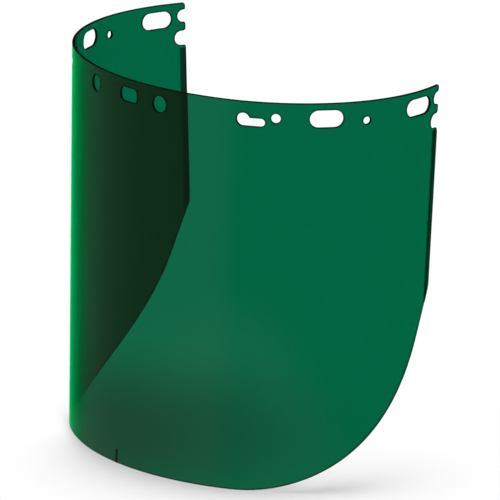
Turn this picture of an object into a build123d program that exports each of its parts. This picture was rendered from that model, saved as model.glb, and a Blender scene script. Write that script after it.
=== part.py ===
from build123d import *
import math
import os

# Replacement window for a head-worn face shield: one thin transparent sheet, bent
# into a U that wraps around the face. The convex front looks towards -Y, the two
# side wings run back towards +Y, +Z is up, and it stands on its bottom edge.
# A point of the sheet is named by its place on the flat blank: s is the distance
# along the blank from its centre line, h is the height above the bottom edge.

# ---- blank ----
blank_length = 393.7        # along the curve, wing to wing (15.5 in)
blank_height = 215.9        # bottom edge to top edge (8.5 in)
thickness = 1.5
half = blank_length / 2
mid = blank_height / 2

# ---- bend, at mid height: three tangent arcs on each side of the centre line ----
front_radius = 130.7
cheek_radius = 94.2
wing_radius = 83.4
front_run = 63.75           # arc length from the centre line to the first change
cheek_run = 63.75           # arc length of the second arc
apex_drop = 3480.0          # the rulings meet this far below mid height
front_y = -63.85            # where the centre line stands in the part's frame

# ---- lower corners of the blank ----
corner_start = 76.0         # where the straight bottom edge ends
corner_radius = 118.0
corner_angle = 68.0         # the arc turns this far, then runs straight to the side
kink_radius = 12.0          # softens the meeting with the upright side edge
tip_radius = 1.6

# ---- top row of openings (centre s, centre h, then sizes) ----
wing_slot = (179.2, 207.2, 18.4, 9.3)
cheek_slot = (122.3, 207.3, 18.0, 9.3)
rivet_hole = (144.5, 205.1, 2.0)
button_hole = (95.5, 207.3, 2.5)
crown_hole = (27.4, 206.7, 4.5)
keyhole_s, keyhole_h, keyhole_radius = 78.0, 205.9, 3.45
keyhole_slot_height, keyhole_end = 4.3, 89.7
centre_window = (4.3, 207.2, 13.0, 7.5, 2.6)

# ---- notches in the upright side edges ----
# floor s, centre h, radius, then how far the mouth's upper and lower corners are rounded
upper_notch = (192.2, 208.4, 3.5, 1.0, 1.0)
lower_notch = (190.3, 195.8, 4.1, 1.6, 0.8)

# ---- raised details ----
bead_width = 4.0            # thickened bead along each side edge
bead_proud = 0.25
bead_top = 190.5
tick_width, tick_height, tick_proud = 1.8, 7.8, 0.25
cut = 5.0                   # reach of the cutting tools on both sides of the sheet


def section(sigma):
    """Point and heading of the mid-height curve at arc length sigma from the centre."""
    side = -1 if sigma < 0 else 1
    left = abs(sigma)
    x, y, heading = 0.0, 0.0, 0.0
    for radius, run in ((front_radius, front_run), (cheek_radius, cheek_run), (wing_radius, 1e3)):
        step = min(left, run)
        turned = heading + step / radius
        x += radius * (math.sin(turned) - math.sin(heading))
        y += radius * (math.cos(heading) - math.cos(turned))
        heading, left = turned, left - step
    return side * x, y, side * heading


def on_sheet(s, h):
    """Place of blank point (s, h) on the middle surface of the bent sheet."""
    reach = apex_drop + h - mid
    x, y, _ = section(apex_drop * s / reach)
    grow = math.hypot(s, reach) / math.sqrt(apex_drop**2 + x**2 + y**2)
    return Vector(grow * x, front_y + grow * y, mid + (grow - 1) * apex_drop)


def facing(s, h):
    """Plane lying on the sheet at (s, h): x along the blank, y up it, z outwards."""
    along = on_sheet(s + 0.5, h) - on_sheet(s - 0.5, h)
    up = on_sheet(s, h + 0.5) - on_sheet(s, h - 0.5)
    return Plane(origin=on_sheet(s, h), x_dir=along, z_dir=along.cross(up))


def side_view(s, h):
    """Blank point seen from the side, as (y, z)."""
    point = on_sheet(s, h)
    return point.Y, point.Z


def strip(z, wall):
    """Face of the bent strip of the given wall thickness, cut level at height z."""
    scale = 1 + (z - mid) / apex_drop
    turns = [math.degrees(front_run / front_radius), math.degrees(cheek_run / cheek_radius), 58.0]
    with BuildSketch(Plane.XY.offset(z)) as face:
        with BuildLine():
            ends = []
            for lift in (wall / 2, -wall / 2):
                front = CenterArc(
                    (0, front_y + front_radius * scale),
                    front_radius * scale + lift,
                    270 - turns[0],
                    2 * turns[0],
                )
                for way, start, tangent in ((1, front @ 1, front % 1), (-1, front @ 0, -(front % 0))):
                    cheek = JernArc(start, tangent, cheek_radius * scale + lift, way * turns[1])
                    wing = JernArc(cheek @ 1, cheek % 1, wing_radius * scale + lift, way * turns[2])
                    ends.append(wing @ 1)
            Line(ends[0], ends[2])
            Line(ends[1], ends[3])
        make_face()
    return face.sketch


# outline of the lower corner on the blank: points along its arc
arc_steps = 7
corner_points = []
for i in range(arc_steps + 1):
    turn = math.radians(corner_angle * i / arc_steps)
    corner_points.append(
        (corner_start + corner_radius * math.sin(turn), corner_radius * (1 - math.cos(turn)))
    )
arc_end_s, arc_end_h = corner_points[-1]
kink_h = arc_end_h + (half - arc_end_s) * math.tan(math.radians(corner_angle))

# thickened bead along the side edges, down to where the corner curve crosses it
with BuildPart() as side_beads:
    loft([strip(z, thickness + 2 * bead_proud) for z in (-3, blank_height + 6)], ruled=True)
    with BuildSketch(Plane.YZ) as bead_band:
        with BuildLine():
            Polyline(
                side_view(half - bead_width, 30),
                side_view(half + 4, 30),
                side_view(half + 4, bead_top),
                side_view(half - bead_width, bead_top),
                close=True,
            )
        make_face()
    extrude(amount=200, both=True, mode=Mode.INTERSECT)

with BuildPart() as visor_window:
    # bent sheet, taller and longer than needed
    loft([strip(z, thickness) for z in (-3, blank_height + 6)], ruled=True)
    add(side_beads.part)

    # trim to the outline, seen from the side
    with BuildSketch(Plane.YZ) as outline:
        with BuildLine():
            bottom = Line((front_y - 9, 0), (side_view(corner_start, 0)[0], 0))
            reach_points = [side_view(s, h) for s, h in corner_points[1:]]
            kink = side_view(half, kink_h)
            corner = Spline(
                bottom @ 1,
                *reach_points,
                tangents=[(1, 0), (kink[0] - reach_points[-1][0], kink[1] - reach_points[-1][1])],
            )
            slope = Line(corner @ 1, kink)
            upright = Line(kink, side_view(half, blank_height))
            top = Spline(
                upright @ 1,
                side_view(130, blank_height),
                side_view(65, blank_height),
                (front_y - 9, blank_height),
            )
            Line(top @ 1, bottom @ 0)
        make_face()
        tip = upright @ 1
        fillet(outline.vertices().sort_by_distance((kink[0], kink[1], 0))[0], kink_radius)
        fillet(outline.vertices().sort_by_distance((tip.X, tip.Y, 0))[0], tip_radius)
    extrude(amount=200, both=True, mode=Mode.INTERSECT)

    # notches that leave a small tongue near the top of each side edge
    for side in (-1, 1):
        for floor_s, centre_h, radius, above, below in (upper_notch, lower_notch):
            depth = half - floor_s - radius
            with BuildSketch(facing(side * (floor_s + radius), centre_h)) as notch:
                Circle(radius)
                with Locations((side * depth / 2, 0)):
                    Rectangle(depth, 2 * radius)
                with Locations((side * (depth + 3), (above - below) / 2)):
                    Rectangle(6, 2 * radius + above + below + 0.04)
                for mouth, rounding in ((radius, above), (-radius, below)):
                    near = notch.vertices().sort_by_distance((side * depth, mouth, 0))
                    fillet(near[0], rounding)
            extrude(amount=cut, both=True, mode=Mode.SUBTRACT)

    # top row of openings, the same on both sides
    for side in (-1, 1):
        for s, h, length, height in (wing_slot, cheek_slot):
            with BuildSketch(facing(side * s, h)):
                SlotOverall(length, height)
            extrude(amount=cut, both=True, mode=Mode.SUBTRACT)
        for s, h, radius in (rivet_hole, button_hole, crown_hole):
            with BuildSketch(facing(side * s, h)):
                Circle(radius)
            extrude(amount=cut, both=True, mode=Mode.SUBTRACT)
        # keyhole: a round hole that opens into a narrow slot along its lower edge
        with BuildSketch(facing(side * keyhole_s, keyhole_h)):
            Circle(keyhole_radius)
            slot_start = -keyhole_slot_height / 2
            slot_length = keyhole_end - keyhole_s - slot_start
            slot_centre = side * (slot_start + slot_length / 2)
            with Locations((slot_centre, -keyhole_radius + keyhole_slot_height / 2)):
                SlotOverall(slot_length, keyhole_slot_height)
        extrude(amount=cut, both=True, mode=Mode.SUBTRACT)

    # single window beside the centre line
    s, h, length, height, radius = centre_window
    with BuildSketch(facing(s, h)):
        RectangleRounded(length, height, radius)
    extrude(amount=cut, both=True, mode=Mode.SUBTRACT)

    # short upright tick at the middle of the bottom edge
    with BuildSketch(facing(0, tick_height / 2)):
        Rectangle(tick_width, tick_height)
    extrude(amount=thickness / 2 + tick_proud)

visor_window.part.label = "visor_window"

os.makedirs("parts", exist_ok=True)
export_step(visor_window.part, "parts/visor_window.step")
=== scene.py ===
import math

import bpy
import numpy as np
from mathutils import Matrix, Vector
from mathutils.geometry import delaunay_2d_cdt


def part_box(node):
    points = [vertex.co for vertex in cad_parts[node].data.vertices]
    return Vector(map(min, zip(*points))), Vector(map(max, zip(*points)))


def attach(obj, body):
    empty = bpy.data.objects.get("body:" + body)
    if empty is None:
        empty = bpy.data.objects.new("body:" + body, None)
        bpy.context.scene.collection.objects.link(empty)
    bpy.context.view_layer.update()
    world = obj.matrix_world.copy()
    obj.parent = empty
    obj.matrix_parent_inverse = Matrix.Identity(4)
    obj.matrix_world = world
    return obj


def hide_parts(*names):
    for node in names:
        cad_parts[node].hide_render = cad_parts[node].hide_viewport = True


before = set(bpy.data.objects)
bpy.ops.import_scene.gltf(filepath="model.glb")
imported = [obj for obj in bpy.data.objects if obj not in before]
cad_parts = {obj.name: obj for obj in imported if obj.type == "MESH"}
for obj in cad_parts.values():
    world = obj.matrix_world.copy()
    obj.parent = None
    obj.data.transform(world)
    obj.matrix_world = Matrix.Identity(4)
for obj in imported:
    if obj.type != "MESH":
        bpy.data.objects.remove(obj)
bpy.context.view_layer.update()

# The sheet is drawn flat, in millimetres, and then bent by the same formula as the CAD model.
# A point of the flat blank is (s, h): s along it from the centre line, h above the bottom edge.
# Places on the stage, further down, are in metres.
MM = 0.001
LENGTH, HEIGHT, THICKNESS = 393.7, 215.9, 1.5
HALF, MID = LENGTH / 2, HEIGHT / 2
FRONT_Y, APEX_DROP = -63.85, 3480.0
ARCS = ((130.7, 63.75), (94.2, 63.75), (83.4, 1000.0))    # radius and run of each tangent arc
CORNER_START, CORNER_RADIUS, CORNER_ANGLE = 76.0, 118.0, math.radians(68)
KINK_RADIUS, TIP_RADIUS = 12.0, 1.6
# notches: floor s, lower h, upper h, then the rounding of the mouth's lower and upper corners
NOTCHES = ((190.3, 191.7, 199.9, 0.8, 1.6), (192.2, 204.9, 211.9, 1.0, 1.0))
# openings on both sides: centre s, centre h, length, height, corner radius
OPENINGS = (
    (179.2, 207.2, 18.4, 9.3, 4.65),
    (122.3, 207.3, 18.0, 9.3, 4.65),
    (144.5, 205.1, 4.0, 4.0, 2.0),
    (95.5, 207.3, 5.0, 5.0, 2.5),
    (27.4, 206.7, 9.0, 9.0, 4.5),
)
CENTRE_WINDOW = (4.3, 207.2, 13.0, 7.5, 2.6)
KEYHOLE_S, KEYHOLE_H, KEYHOLE_RADIUS, KEYHOLE_SLOT, KEYHOLE_END = 78.0, 205.9, 3.45, 4.3, 89.7
BEAD_WIDTH, BEAD_PROUD, BEAD_TOP, BEAD_RAMP = 4.0, 0.25, 190.5, 0.8
TICK_WIDTH, TICK_HEIGHT, TICK_PROUD, TICK_RAMP = 1.8, 7.8, 0.25, 0.15

EDGE_ROUND = 0.45           # radius of the broken edges all round the sheet and its openings
EDGE_STEPS = 3              # facets across one rounded edge
GRID_S, GRID_H = 2.5, 6.0   # spacing of the mesh's cells along the blank and up it
BEAD_CUTS, TICK_CUTS = np.array((0, 0.33, 0.67, 1)), np.array((0, 0.5, 1))    # lines across a ramp
LINE_MARGIN = 5.0           # how far the grid lines run past the blank
ARC_TURN, ARC_RUN = math.radians(6), 3.0    # largest facets of an outline's arcs, in angle and length
SLOPE_STEP, AXIS_STEP = 0.02, 0.01          # how far apart slopes and directions are sampled
SAME_POINT, SNAP = 1e-4, 1e-5       # how close points are one, in an outline and in the cut sheet
LEAST_STEP, LEAST_SHARE = 1e-9, 1e-3    # sides and parts of a side too short to be cut
VALID_FACES = 4             # delaunay_2d_cdt keeps the edges that make every cell a valid face
OUTER, INNER, CUT, TICK = 0, 1, 2, 3    # material slots of the mesh

# sides and angles of the rings of points round a broken edge, from the outer face to the inner one
EDGE_TURNS = [(1, math.pi / 2 * k / EDGE_STEPS) for k in range(1, EDGE_STEPS + 1)]
EDGE_TURNS += [(-1, turn) for _, turn in reversed(EDGE_TURNS)]


# ---- flat drawing ----

def arc(centre, radius, start, turn):
    """Points along an arc, ends included, at least five of them."""
    steps = max(4, round(abs(turn) / ARC_TURN), round(radius * abs(turn) / ARC_RUN))
    angles = start + turn * np.arange(steps + 1) / steps
    return [np.array(centre) + radius * np.array((math.cos(a), math.sin(a))) for a in angles]


def rounded(corners):
    """Closed outline through corners (s, h, radius)."""
    points = []
    for i, (s, h, radius) in enumerate(corners):
        here = np.array((s, h))
        back = np.array(corners[i - 1][:2]) - here
        ahead = np.array(corners[(i + 1) % len(corners)][:2]) - here
        back, ahead = back / np.linalg.norm(back), ahead / np.linalg.norm(ahead)
        opening = math.acos(np.clip(back @ ahead, -1, 1))
        middle = (back + ahead) / np.linalg.norm(back + ahead)
        centre = here + middle * radius / math.sin(opening / 2)
        first = here + back * radius / math.tan(opening / 2) - centre
        turns_left = back[0] * ahead[1] - back[1] * ahead[0] < 0
        turn = (math.pi - opening) * (1 if turns_left else -1)
        points += arc(centre, radius, math.atan2(first[1], first[0]), turn)
    return without_repeats(points)


def without_repeats(points):
    """The same closed outline without points that coincide."""
    gaps = [np.linalg.norm(point - points[i - 1]) for i, point in enumerate(points)]
    return np.array([point for point, gap in zip(points, gaps) if gap > SAME_POINT])


def box(s, h, length, height, radius):
    """Rounded rectangle about (s, h), anticlockwise. A full radius makes it a slot or a circle."""
    a, b = length / 2, height / 2
    signs = ((-1, -1), (1, -1), (1, 1), (-1, 1))
    return rounded([(s + i * a, h + j * b, radius) for i, j in signs])


def keyhole():
    """Round hole that opens into a narrow slot along its lower edge."""
    low, end_radius = KEYHOLE_H - KEYHOLE_RADIUS, KEYHOLE_SLOT / 2
    join = math.asin((KEYHOLE_SLOT - KEYHOLE_RADIUS) / KEYHOLE_RADIUS)
    slot_end = arc((KEYHOLE_END - end_radius, low + end_radius), end_radius, -math.pi / 2, math.pi)
    hole = arc((KEYHOLE_S, KEYHOLE_H), KEYHOLE_RADIUS, join, 1.5 * math.pi - join)
    return without_repeats(slot_end + hole)


def mirrored(points):
    """The same closed outline on the other side of the centre line, still anticlockwise."""
    return (points * (-1, 1))[::-1]


def sheet_outline():
    """Outer edge of the blank, anticlockwise."""
    slope_foot = CORNER_START + CORNER_RADIUS * math.tan(CORNER_ANGLE / 2)
    kink_h = (HALF - slope_foot) * math.tan(CORNER_ANGLE)
    corners = [(slope_foot, 0, CORNER_RADIUS), (HALF, kink_h, KINK_RADIUS)]
    for floor_s, low, high, round_low, round_high in NOTCHES:
        radius = (high - low) / 2 - 10 * SAME_POINT
        corners += [(HALF, low, round_low), (floor_s, low, radius)]
        corners += [(floor_s, high, radius), (HALF, high, round_high)]
    corners.append((HALF, HEIGHT, TIP_RADIUS))
    return rounded(corners + [(-s, h, radius) for s, h, radius in reversed(corners)])


def opening_outlines():
    """Edges of all the openings, anticlockwise."""
    one_side = [box(*opening) for opening in OPENINGS] + [keyhole()]
    return one_side + [mirrored(loop) for loop in one_side] + [box(*CENTRE_WINDOW)]


# ---- bending ----

def bend(s, h, w):
    """Places in mm, in the part's frame, of blank points at distance w outside the middle surface."""
    reach = APEX_DROP + h - MID
    side, left = np.where(s < 0, -1.0, 1.0), np.abs(APEX_DROP * s / reach)
    x, y, heading = np.zeros_like(s), np.zeros_like(s), np.zeros_like(s)
    for radius, run in ARCS:
        step = np.minimum(left, run)
        turned = heading + step / radius
        x += radius * (np.sin(turned) - np.sin(heading))
        y += radius * (np.cos(heading) - np.cos(turned))
        heading, left = turned, left - step
    ruling = np.stack([side * x, y, np.full_like(x, APEX_DROP)], 1)
    length = np.linalg.norm(ruling, axis=1)
    grow = np.hypot(s, reach) / length
    tangent = np.stack([np.cos(heading), side * np.sin(heading), np.zeros_like(x)], 1)
    outward = np.cross(tangent, ruling / length[:, None])
    outward /= np.linalg.norm(outward, axis=1)[:, None]
    return grow[:, None] * ruling + (0, FRONT_Y, MID - APEX_DROP) + w[:, None] * outward


def smooth(distance, ramp):
    """0 to 1 as distance goes from 0 to ramp, with level ends."""
    t = np.clip(distance / ramp, 0, 1)
    return t * t * (3 - 2 * t)


def bead_at(s, h):
    """1 on the bead along a side edge, 0 away from it."""
    return smooth(np.abs(s) - (HALF - BEAD_WIDTH), BEAD_RAMP) * smooth(BEAD_TOP - h, BEAD_RAMP)


def lift(s, h, face):
    """Distance of a face (1 outer, -1 inner) from the middle surface, with the bead and the tick."""
    tick = smooth(TICK_WIDTH / 2 - np.abs(s), TICK_RAMP) * smooth(TICK_HEIGHT - h, TICK_RAMP)
    return face * (THICKNESS / 2 + BEAD_PROUD * bead_at(s, h)) + np.where(face > 0, TICK_PROUD * tick, 0)


def axes(s, h, w):
    """Unit directions along the blank, up it and out of it, on the bent sheet."""
    step = AXIS_STEP
    along = bend(s + step, h, w) - bend(s - step, h, w)
    up = bend(s, h + step, w) - bend(s, h - step, w)
    out = np.cross(along, up)
    return [a / np.linalg.norm(a, axis=1)[:, None] for a in (along, up, out)]


def face_normals(s, h, face):
    """Normals of the outer or inner face, with the slopes of the bead and the tick."""
    step = SLOPE_STEP
    along = bend(s + step, h, lift(s + step, h, face)) - bend(s - step, h, lift(s - step, h, face))
    up = bend(s, h + step, lift(s, h + step, face)) - bend(s, h - step, lift(s, h - step, face))
    normal = np.cross(along, up) * face[:, None]
    return normal / np.linalg.norm(normal, axis=1)[:, None]


# ---- mesh ----

def grid_lines():
    """Places of the cell edges along the blank and up it, closer together at the bead and the tick."""
    across = np.linspace(-HALF, HALF, round(LENGTH / GRID_S) + 1)[1:-1]
    bead = HALF - BEAD_WIDTH + BEAD_RAMP * BEAD_CUTS
    tick = TICK_WIDTH / 2 - TICK_RAMP * TICK_CUTS
    s_lines = np.concatenate([across, bead, tick, -bead, -tick])
    rows = np.linspace(0, HEIGHT, round(HEIGHT / GRID_H) + 1)[1:-1]
    bead = BEAD_TOP - BEAD_RAMP * BEAD_CUTS
    tick = TICK_HEIGHT - TICK_RAMP * TICK_CUTS
    h_lines = np.concatenate([rows, bead, tick])
    return np.unique(s_lines.round(4)), np.unique(h_lines.round(4))


def grid_ends(s_lines, h_lines):
    """Ends of the grid lines, a little outside the blank."""
    margin = LINE_MARGIN
    upright = [((s, -margin), (s, HEIGHT + margin)) for s in s_lines]
    return upright + [((-HALF - margin, h), (HALF + margin, h)) for h in h_lines]


def normals_2d(loop):
    """Outward normals at the points of an anticlockwise outline, scaled to keep its sides parallel."""
    edge = np.roll(loop, -1, 0) - loop
    out = np.stack([edge[:, 1], -edge[:, 0]], 1) / np.linalg.norm(edge, axis=1)[:, None]
    both = out + np.roll(out, 1, 0)
    return 2 * both / (both**2).sum(1)[:, None]


def split_at_lines(loop, normals, s_lines, h_lines):
    """The outline with a point wherever a grid line crosses it, and its normals there."""
    points, outs = [], []
    for i in range(len(loop)):
        j = (i + 1) % len(loop)
        cuts = [0.0]
        for axis, lines in ((0, s_lines), (1, h_lines)):
            step = loop[j][axis] - loop[i][axis]
            if abs(step) > LEAST_STEP:
                where = (lines - loop[i][axis]) / step
                cuts += list(where[(where > LEAST_SHARE) & (where < 1 - LEAST_SHARE)])
        for t in sorted(cuts):
            points.append(loop[i] * (1 - t) + loop[j] * t)
            outs.append(normals[i] * (1 - t) + normals[j] * t)
    return np.array(points), np.array(outs)


def fill(loops, s_lines, h_lines):
    """Cells of the flat sheet inside the first loop and outside the others, cut along the grid.

    Gives the points, the cells, and the place of each outline point among the points.
    """
    points = [tuple(p) for loop in loops for p in loop]
    faces, start = [], 0
    for loop in loops:
        face = list(range(start, start + len(loop)))
        faces.append(face[::-1] if faces else face)
        start += len(loop)
    edges = []
    for ends in grid_ends(s_lines, h_lines):
        edges.append((len(points), len(points) + 1))
        points += ends
    points = [Vector(p) for p in points]
    found = delaunay_2d_cdt(points, edges, faces, VALID_FACES, SNAP, True)
    places, _, cells, sources, _, owners = found
    cells = [cell for cell, owner in zip(cells, owners) if set(owner) == {0}]
    used = sorted({i for cell in cells for i in cell})
    renumber = {old: new for new, old in enumerate(used)}
    cells = [[renumber[i] for i in cell] for cell in cells]
    cap_of = np.full(start, -1)
    for i in used:
        for point in sources[i]:
            if point < start:
                cap_of[point] = renumber[i]
    return np.array(places)[used], cells, cap_of


def inset_outlines(s_lines, h_lines):
    """Edges of the flat faces, inside the broken edges, and the directions out of the sheet there."""
    insets, airs = [], []
    for loop in [sheet_outline()] + [hole[::-1] for hole in opening_outlines()]:
        air = normals_2d(loop)
        inset, air = split_at_lines(loop - EDGE_ROUND * air, air, s_lines, h_lines)
        insets.append(inset)
        airs.append(air)
    return insets, airs


def face_points(flat):
    """Places and normals of the points of the outer face, then of the inner one."""
    places, normals = [], []
    s, h = flat.T
    for side in (1, -1):
        face = np.full(len(flat), side)
        places.append(bend(s, h, lift(s, h, face)))
        normals.append(face_normals(s, h, face))
    return places, normals


def edge_points(rim, air):
    """Places and normals of the rings of points round the broken edges."""
    places, normals = [], []
    for face, turn in EDGE_TURNS:
        s, h = (rim + EDGE_ROUND * math.sin(turn) * air).T
        w = lift(s, h, np.full(len(rim), face)) - face * EDGE_ROUND * (1 - math.cos(turn))
        along, up, out = axes(s, h, w)
        sideways = air[:, :1] * along + air[:, 1:] * up
        sideways /= np.linalg.norm(sideways, axis=1)[:, None]
        places.append(bend(s, h, w))
        normals.append(math.sin(turn) * sideways + face * math.cos(turn) * out)
    return places, normals


def edge_faces(insets, cap_of, count):
    """Faces from ring to ring, round one outline after the other. Each flat face has count points."""
    total = len(cap_of)
    rings = [2 * count + k * total + np.arange(total) for k in range(len(EDGE_TURNS))]
    rings = [cap_of] + rings + [count + cap_of]
    faces, start = [], 0
    for inset in insets:
        here = start + np.arange(len(inset))
        after = np.roll(here, -1)
        for outer, inner in zip(rings, rings[1:]):
            faces += np.stack([outer[here], inner[here], inner[after], outer[after]], 1).tolist()
        start += len(inset)
    return faces


def outer_kinds(flat, cells):
    """Material slots of the cells of the outer face."""
    middles = [flat[cell].mean(0) for cell in cells]
    return [TICK if abs(s) < TICK_WIDTH / 2 and h < TICK_HEIGHT else OUTER for s, h in middles]


def sheet_mesh():
    """The bent sheet with broken edges, in the row frame, in metres."""
    s_lines, h_lines = grid_lines()
    insets, airs = inset_outlines(s_lines, h_lines)
    flat, cells, cap_of = fill(insets, s_lines, h_lines)
    count, rim = len(flat), np.concatenate(insets)
    face_places, face_outs = face_points(flat)
    edge_places, edge_outs = edge_points(rim, np.concatenate(airs))
    places = np.concatenate(face_places + edge_places)
    normals = np.concatenate(face_outs + edge_outs)
    around = edge_faces(insets, cap_of, count)
    faces = cells + [[count + i for i in reversed(cell)] for cell in cells] + around
    kinds = outer_kinds(flat, cells) + [INNER] * len(cells) + [CUT] * len(around)

    # the formula's own frame is moved so that the lowest corner is the CAD part's
    shift = np.array(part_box("visor_window")[0]) / MM - places.min(0)
    mesh = bpy.data.meshes.new("tinted_sheet")
    mesh.from_pydata(((places + shift) * MM).tolist(), [], faces)
    mesh.polygons.foreach_set("material_index", kinds)
    mesh.polygons.foreach_set("use_smooth", [True] * len(faces))
    mesh.normals_split_custom_set_from_vertices(normals.tolist())
    blank = np.concatenate([flat, flat] + [rim] * len(EDGE_TURNS))
    bead = mesh.attributes.new("bead", "FLOAT", "POINT")
    bead.data.foreach_set("value", bead_at(blank[:, 0], blank[:, 1]).astype(np.float32))
    return mesh


# ---- materials ----

PLASTIC_IOR = 1.5
SHEET_COLOUR = (0.0005, 0.108, 0.046, 1)    # share of white light that gets through the sheet
BEAD_COLOUR = (0.002, 0.02, 0.012, 1)       # the same through the bead
GLOW_COLOUR = (0.0, 0.93, 0.215, 1)         # light scattered out of the plastic at a grazing angle
GLOW_ROUGHNESS = 0.27
CUT_COLOUR, CUT_ROUGHNESS = (0.0003, 0.0022, 0.001, 1), 0.3
TICK_COLOUR, TICK_ROUGHNESS = (0.001, 0.004, 0.003, 1), 0.35
SHEET_WEAR, SHEET_BUMP = 0.03, 0.015        # spread of the roughness and strength of the waviness
CUT_WEAR, CUT_BUMP = 0.15, 0.1
WEAR_SCALE, WEAR_DETAIL, WEAR_LOW, WEAR_HIGH = 60, 4, 0.3, 0.8      # fine noise in the roughness
WAVE_SCALE, WAVE_DETAIL, WAVE_DEPTH = 18, 1, 0.0002     # broad waves of the surface, in metres


def principled(name, **values):
    """New material with these Principled values, and its nodes, links and shader."""
    material = bpy.data.materials.new(name)
    material.use_nodes = True
    nodes, links = material.node_tree.nodes, material.node_tree.links
    shader = nodes["Principled BSDF"]
    for socket, value in values.items():
        shader.inputs[socket.replace("_", " ")].default_value = value
    return material, nodes, links, shader


def add_wear(nodes, links, shader, low, high, bump):
    """Fine variation of the polish, and the faint waviness of a drawn plastic sheet."""
    place = nodes.new("ShaderNodeTexCoord")
    fine = nodes.new("ShaderNodeTexNoise")
    fine.inputs["Scale"].default_value = WEAR_SCALE
    fine.inputs["Detail"].default_value = WEAR_DETAIL
    spread = nodes.new("ShaderNodeMapRange")
    spread.inputs["From Min"].default_value = WEAR_LOW
    spread.inputs["From Max"].default_value = WEAR_HIGH
    spread.inputs["To Min"].default_value = low
    spread.inputs["To Max"].default_value = high
    waves = nodes.new("ShaderNodeTexNoise")
    waves.inputs["Scale"].default_value = WAVE_SCALE
    waves.inputs["Detail"].default_value = WAVE_DETAIL
    relief = nodes.new("ShaderNodeBump")
    relief.inputs["Strength"].default_value = bump
    relief.inputs["Distance"].default_value = WAVE_DEPTH
    links.new(place.outputs["Object"], fine.inputs["Vector"])
    links.new(fine.outputs["Fac"], spread.inputs["Value"])
    links.new(spread.outputs["Result"], shader.inputs["Roughness"])
    links.new(place.outputs["Object"], waves.inputs["Vector"])
    links.new(waves.outputs["Fac"], relief.inputs["Height"])
    links.new(relief.outputs["Normal"], shader.inputs["Normal"])


def clear_plastic(name, glow):
    """Polished dyed sheet, darker along the bead. The sheen is light scattered out of it."""
    material, nodes, links, shader = principled(
        name,
        Transmission_Weight=1.0,
        IOR=PLASTIC_IOR,
        Sheen_Weight=glow,
        Sheen_Roughness=GLOW_ROUGHNESS,
        Sheen_Tint=GLOW_COLOUR,
    )
    bead = nodes.new("ShaderNodeAttribute")
    bead.attribute_name = "bead"
    tone = nodes.new("ShaderNodeMix")
    tone.data_type = "RGBA"
    tone.inputs["A"].default_value = SHEET_COLOUR
    tone.inputs["B"].default_value = BEAD_COLOUR
    links.new(bead.outputs["Fac"], tone.inputs["Factor"])
    links.new(tone.outputs["Result"], shader.inputs["Base Color"])
    add_wear(nodes, links, shader, 0.0, SHEET_WEAR, SHEET_BUMP)
    return material


def dark_plastic(name, colour, polish):
    """Trimmed edges and the raised tick, where the dye is deep enough to look almost black."""
    material, nodes, links, shader = principled(name, Base_Color=colour, IOR=PLASTIC_IOR)
    add_wear(nodes, links, shader, polish, polish + CUT_WEAR, CUT_BUMP)
    return material


# ---- the piece ----

sheet = bpy.data.objects.new("tinted_sheet", sheet_mesh())
bpy.context.scene.collection.objects.link(sheet)
for material in (
    clear_plastic("outer_face", 1.0),
    clear_plastic("inner_face", 0.0),
    dark_plastic("cut_edge", CUT_COLOUR, CUT_ROUGHNESS),
    dark_plastic("tick_mark", TICK_COLOUR, TICK_ROUGHNESS),
):
    sheet.data.materials.append(material)
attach(sheet, "root")
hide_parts("visor_window")


# ---- floor, light and camera ----

FLOOR_REACH, FLOOR_DROP, FLOOR_ALBEDO = 12, 0.0002, 0.7
WORLD_FILL = 1.87           # light of the white room on diffuse surfaces
ROOM_DIM, ROOM_BRIGHT = 0.004, 0.135    # the room in reflections, and its brighter side
BRIGHT_SIDE = Vector((-0.57, -0.82, 0.0))
BRIGHT_START, BRIGHT_FULL = 0.47, 0.8   # cosines to that side where it begins and where it is full
# what the sheet mirrors of the table: disc of this radius, fading from TABLE_NEAR outwards
TABLE_GLOW, TABLE_NEAR, TABLE_REACH = 0.13, 0.1, 0.27
TABLE_PLACE = (0.1, -0.17, -0.0001)
TABLE_SIDES = 48
# what shows through the sheet: a painted shadow round this place, bright beyond THROUGH_FAR
THROUGH_SHADE_PLACE = (-0.07, -0.065, -0.0001)
THROUGH_NEAR, THROUGH_FAR = 0.03, 0.21
THROUGH_PAINTED_SHADE, THROUGH_BRIGHT = 0.45, 1.24
# band that casts the contact shadow, in mm: low on the far side, tallest at the front
SHADE_END, SHADE_POINTS = 185.0, 111
SHADE_HEIGHT, SHADE_LEAST = 37.0, 3.0
SHADE_RISE, SHADE_RISE_RUN = -65.0, 80.0
SHADE_FALL, SHADE_FALL_RUN, SHADE_FALL_SHARE = 20.0, 110.0, 0.65
SHADE_FLANGE = 8.0          # widest half-width of the flange under its raised part
# camera far to the front right, with a long lens
CAMERA_PLACE = (2.43504, -1.97466, 1.01705)
CAMERA_RIGHT = Vector((0.62895, 0.77710, 0.02330))
CAMERA_AHEAD = Vector((-0.74251, 0.60930, -0.27828))
CAMERA_LENS, CAMERA_SENSOR = 432, 36
CAMERA_SHIFT = (0.00576, 0.0046)
CAMERA_CLIP = 100


def new_object(name, places, faces, material):
    """Mesh object with one material, linked to the scene."""
    data = bpy.data.meshes.new(name)
    data.from_pydata(places, [], faces)
    data.materials.append(material)
    thing = bpy.data.objects.new(name, data)
    bpy.context.scene.collection.objects.link(thing)
    return thing


def floor_square():
    """Corners and face of a level square as large as the floor."""
    reach = FLOOR_REACH
    corners = [(-reach, -reach, 0), (reach, -reach, 0), (reach, reach, 0), (-reach, reach, 0)]
    return corners, [(0, 1, 2, 3)]


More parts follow.
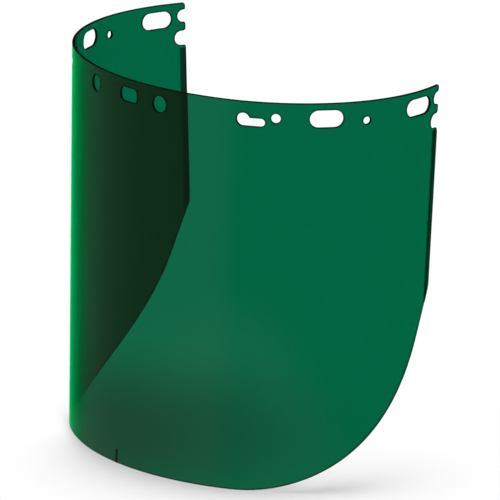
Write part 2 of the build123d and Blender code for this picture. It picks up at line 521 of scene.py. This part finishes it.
def fading_glow(name, near, far, near_strength, far_strength):
    """Light that changes with the distance from its object's origin, and its nodes."""
    material = bpy.data.materials.new(name)
    material.use_nodes = True
    nodes, links = material.node_tree.nodes, material.node_tree.links
    nodes.clear()
    place = nodes.new("ShaderNodeTexCoord")
    distance = nodes.new("ShaderNodeVectorMath")
    distance.operation = "LENGTH"
    fade = nodes.new("ShaderNodeMapRange")
    fade.interpolation_type = "SMOOTHSTEP"
    fade.inputs["From Min"].default_value = near
    fade.inputs["From Max"].default_value = far
    fade.inputs["To Min"].default_value = near_strength
    fade.inputs["To Max"].default_value = far_strength
    glow = nodes.new("ShaderNodeEmission")
    output = nodes.new("ShaderNodeOutputMaterial")
    links.new(place.outputs["Object"], distance.inputs[0])
    links.new(distance.outputs["Value"], fade.inputs["Value"])
    links.new(fade.outputs["Result"], glow.inputs["Strength"])
    links.new(glow.outputs["Emission"], output.inputs["Surface"])
    return material, nodes, links, glow, output


def white_floor():
    """Pale floor that takes the soft shadow. The sheet neither mirrors nor shows it."""
    colour = (FLOOR_ALBEDO,) * 3 + (1,)
    material, _, _, _ = principled(
        "white_floor",
        Base_Color=colour,
        Roughness=1.0,
        Specular_IOR_Level=0.0,
    )
    floor = new_object("floor", *floor_square(), material)
    floor.visible_glossy = floor.visible_transmission = False
    floor.location.z = -FLOOR_DROP


def table_reflection():
    """What the sheet mirrors of the bright table round its foot, seen only in reflections."""
    material, nodes, links, glow, output = fading_glow(
        "table_reflection", TABLE_NEAR, TABLE_REACH, TABLE_GLOW, 0
    )
    clear = nodes.new("ShaderNodeBsdfTransparent")
    both = nodes.new("ShaderNodeAddShader")
    links.new(glow.outputs["Emission"], both.inputs[0])
    links.new(clear.outputs["BSDF"], both.inputs[1])
    links.new(both.outputs["Shader"], output.inputs["Surface"])
    angles = [2 * math.pi * k / TABLE_SIDES for k in range(TABLE_SIDES)]
    ring = [(TABLE_REACH * math.cos(a), TABLE_REACH * math.sin(a), 0) for a in angles]
    card = new_object("table_reflection", ring, [range(TABLE_SIDES)], material)
    card.location = TABLE_PLACE
    card.visible_camera = card.visible_diffuse = False
    card.visible_transmission = card.visible_shadow = False


def table_with_painted_shade():
    """The over-exposed table, with a painted shadow round the foot, seen only through the sheet."""
    material = fading_glow(
        "table_with_painted_shade", THROUGH_NEAR, THROUGH_FAR, THROUGH_PAINTED_SHADE, THROUGH_BRIGHT
    )[0]
    card = new_object("table_with_painted_shade", *floor_square(), material)
    card.location = THROUGH_SHADE_PLACE
    card.visible_camera = card.visible_diffuse = False
    card.visible_glossy = card.visible_shadow = False


def contact_shade():
    """Unseen band along the sheet's lower edge. It casts the soft shadow in place of the sheet."""
    s = np.linspace(-SHADE_END, SHADE_END, SHADE_POINTS)
    past = np.clip(np.abs(s) - CORNER_START, 0, None)
    low = CORNER_RADIUS - np.sqrt(CORNER_RADIUS**2 - past**2)
    # light would streak in under the near wing's raised corner without a level flange there
    flange = np.where(s > 0, np.clip(low / 2, 0, SHADE_FLANGE), 0)
    rise = smooth(s - SHADE_RISE, SHADE_RISE_RUN)
    fall = 1 - SHADE_FALL_SHARE * smooth(s - SHADE_FALL, SHADE_FALL_RUN)
    tall = SHADE_HEIGHT * rise * fall + SHADE_LEAST
    level = np.zeros_like(s)
    rows = [bend(s, low, level), bend(s, low + tall, level)]
    rows += [bend(s, low, flange), bend(s, low, -flange)]
    faces, steps = [], np.arange(len(s) - 1)
    for a, b in ((0, 1), (2, 3)):
        a, b = a * len(s) + steps, b * len(s) + steps
        faces += np.stack([a, a + 1, b + 1, b], 1).tolist()
    material, _, _, _ = principled(
        "contact_shade",
        Base_Color=(0, 0, 0, 1),
        Specular_IOR_Level=0.0,
    )
    places = np.concatenate(rows) * MM
    band = new_object("contact_shade", places.tolist(), faces, material)
    band.visible_camera = band.visible_glossy = band.visible_transmission = False


def studio_world():
    """White all round, but only a dim room, brighter to the front left, in reflections."""
    world = bpy.data.worlds.new("studio")
    bpy.context.scene.world = world
    world.use_nodes = True
    nodes, links = world.node_tree.nodes, world.node_tree.links
    nodes.clear()
    path = nodes.new("ShaderNodeLightPath")
    place = nodes.new("ShaderNodeTexCoord")
    towards = nodes.new("ShaderNodeVectorMath")
    towards.operation = "DOT_PRODUCT"
    towards.inputs[1].default_value = BRIGHT_SIDE
    room = nodes.new("ShaderNodeMapRange")
    room.interpolation_type = "SMOOTHSTEP"
    room.inputs["From Min"].default_value = BRIGHT_START
    room.inputs["From Max"].default_value = BRIGHT_FULL
    room.inputs["To Min"].default_value = ROOM_DIM
    room.inputs["To Max"].default_value = ROOM_BRIGHT
    choose_glossy = nodes.new("ShaderNodeMix")
    choose_glossy.inputs["A"].default_value = 1.0
    choose_diffuse = nodes.new("ShaderNodeMix")
    choose_diffuse.inputs["B"].default_value = WORLD_FILL
    background = nodes.new("ShaderNodeBackground")
    output = nodes.new("ShaderNodeOutputWorld")
    links.new(place.outputs["Generated"], towards.inputs[0])
    links.new(towards.outputs["Value"], room.inputs["Value"])
    links.new(path.outputs["Is Glossy Ray"], choose_glossy.inputs["Factor"])
    links.new(room.outputs["Result"], choose_glossy.inputs["B"])
    links.new(path.outputs["Is Diffuse Ray"], choose_diffuse.inputs["Factor"])
    links.new(choose_glossy.outputs["Result"], choose_diffuse.inputs["A"])
    links.new(choose_diffuse.outputs["Result"], background.inputs["Strength"])
    links.new(background.outputs["Background"], output.inputs["Surface"])


def photo_camera():
    """Camera at the photographed angle."""
    data = bpy.data.cameras.new("camera")
    data.lens, data.sensor_width, data.sensor_fit = CAMERA_LENS, CAMERA_SENSOR, "HORIZONTAL"
    data.shift_x, data.shift_y = CAMERA_SHIFT
    data.clip_end = CAMERA_CLIP
    camera = bpy.data.objects.new("camera", data)
    bpy.context.scene.collection.objects.link(camera)
    up = CAMERA_RIGHT.cross(CAMERA_AHEAD)
    turn = Matrix((CAMERA_RIGHT, up, -CAMERA_AHEAD)).transposed().to_4x4()
    camera.matrix_world = Matrix.Translation(CAMERA_PLACE) @ turn
    bpy.context.scene.camera = camera


# light passes the clear sheet without a shadow, and contact_shade() casts a soft one instead
sheet.visible_shadow = sheet.visible_diffuse = False
white_floor()
table_reflection()
table_with_painted_shade()
contact_shade()
studio_world()
photo_camera()
bpy.context.scene.view_settings.view_transform = "Standard"
